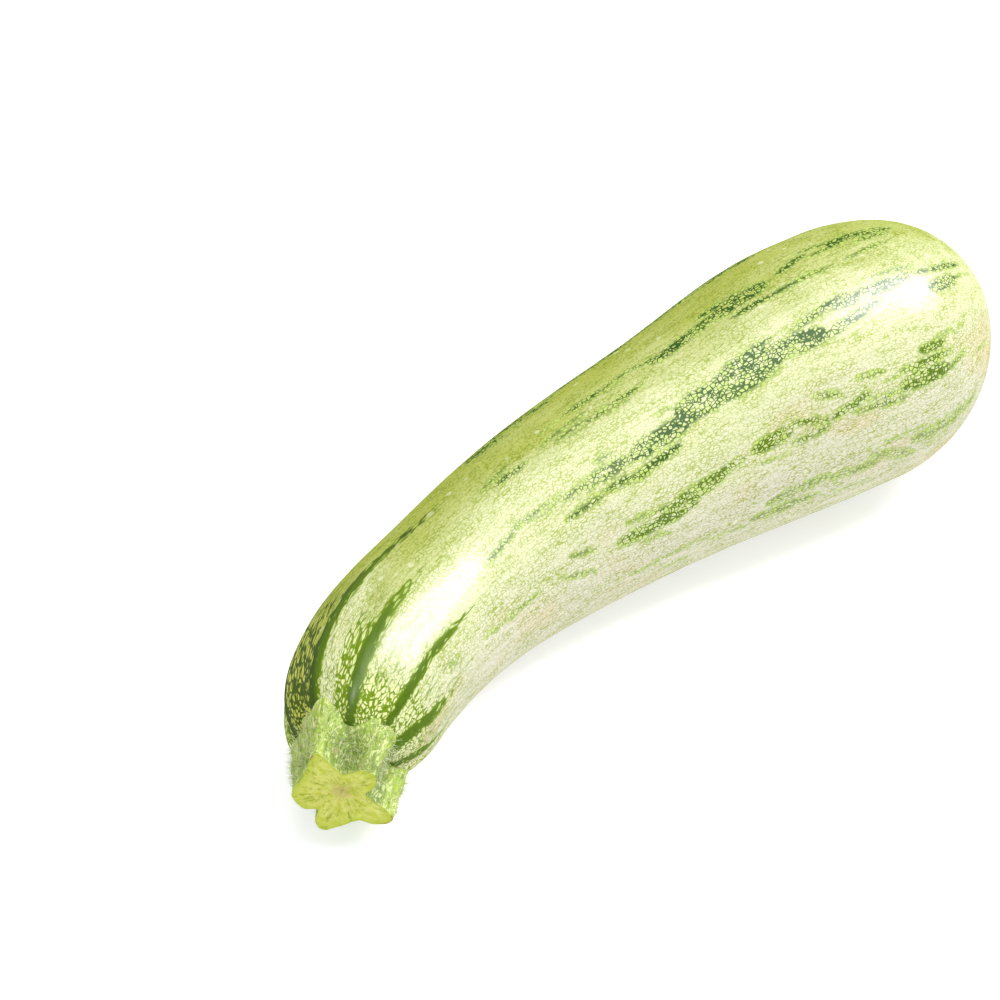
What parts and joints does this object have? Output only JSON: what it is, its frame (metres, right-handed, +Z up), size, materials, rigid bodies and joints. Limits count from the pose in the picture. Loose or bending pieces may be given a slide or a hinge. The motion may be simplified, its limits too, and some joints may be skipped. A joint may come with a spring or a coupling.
{
  "type": "zucchini",
  "caption": "Mottled light-green zucchini lying on its side, with a bent neck, a full belly and the cut stump of its ridged stem.",
  "frame": {"origin": "under the middle of the part's box, on the surface that the zucchini rests on", "axes": "+X from the stem towards the blossom end, +Y towards the side that the fruit bows out to, +Z up"},
  "size_m": [0.2088, 0.0694, 0.0593],
  "materials": {
    "skin": "glossy waxed vegetable skin, cream-green with broken dark green stripes",
    "stem": "dull green ridged stem with pale flecks and a moist yellow-green cut"
  },
  "bodies": {
    "root": {"fruit": "skin", "stem": "stem"}
  },
  "joints": []
}
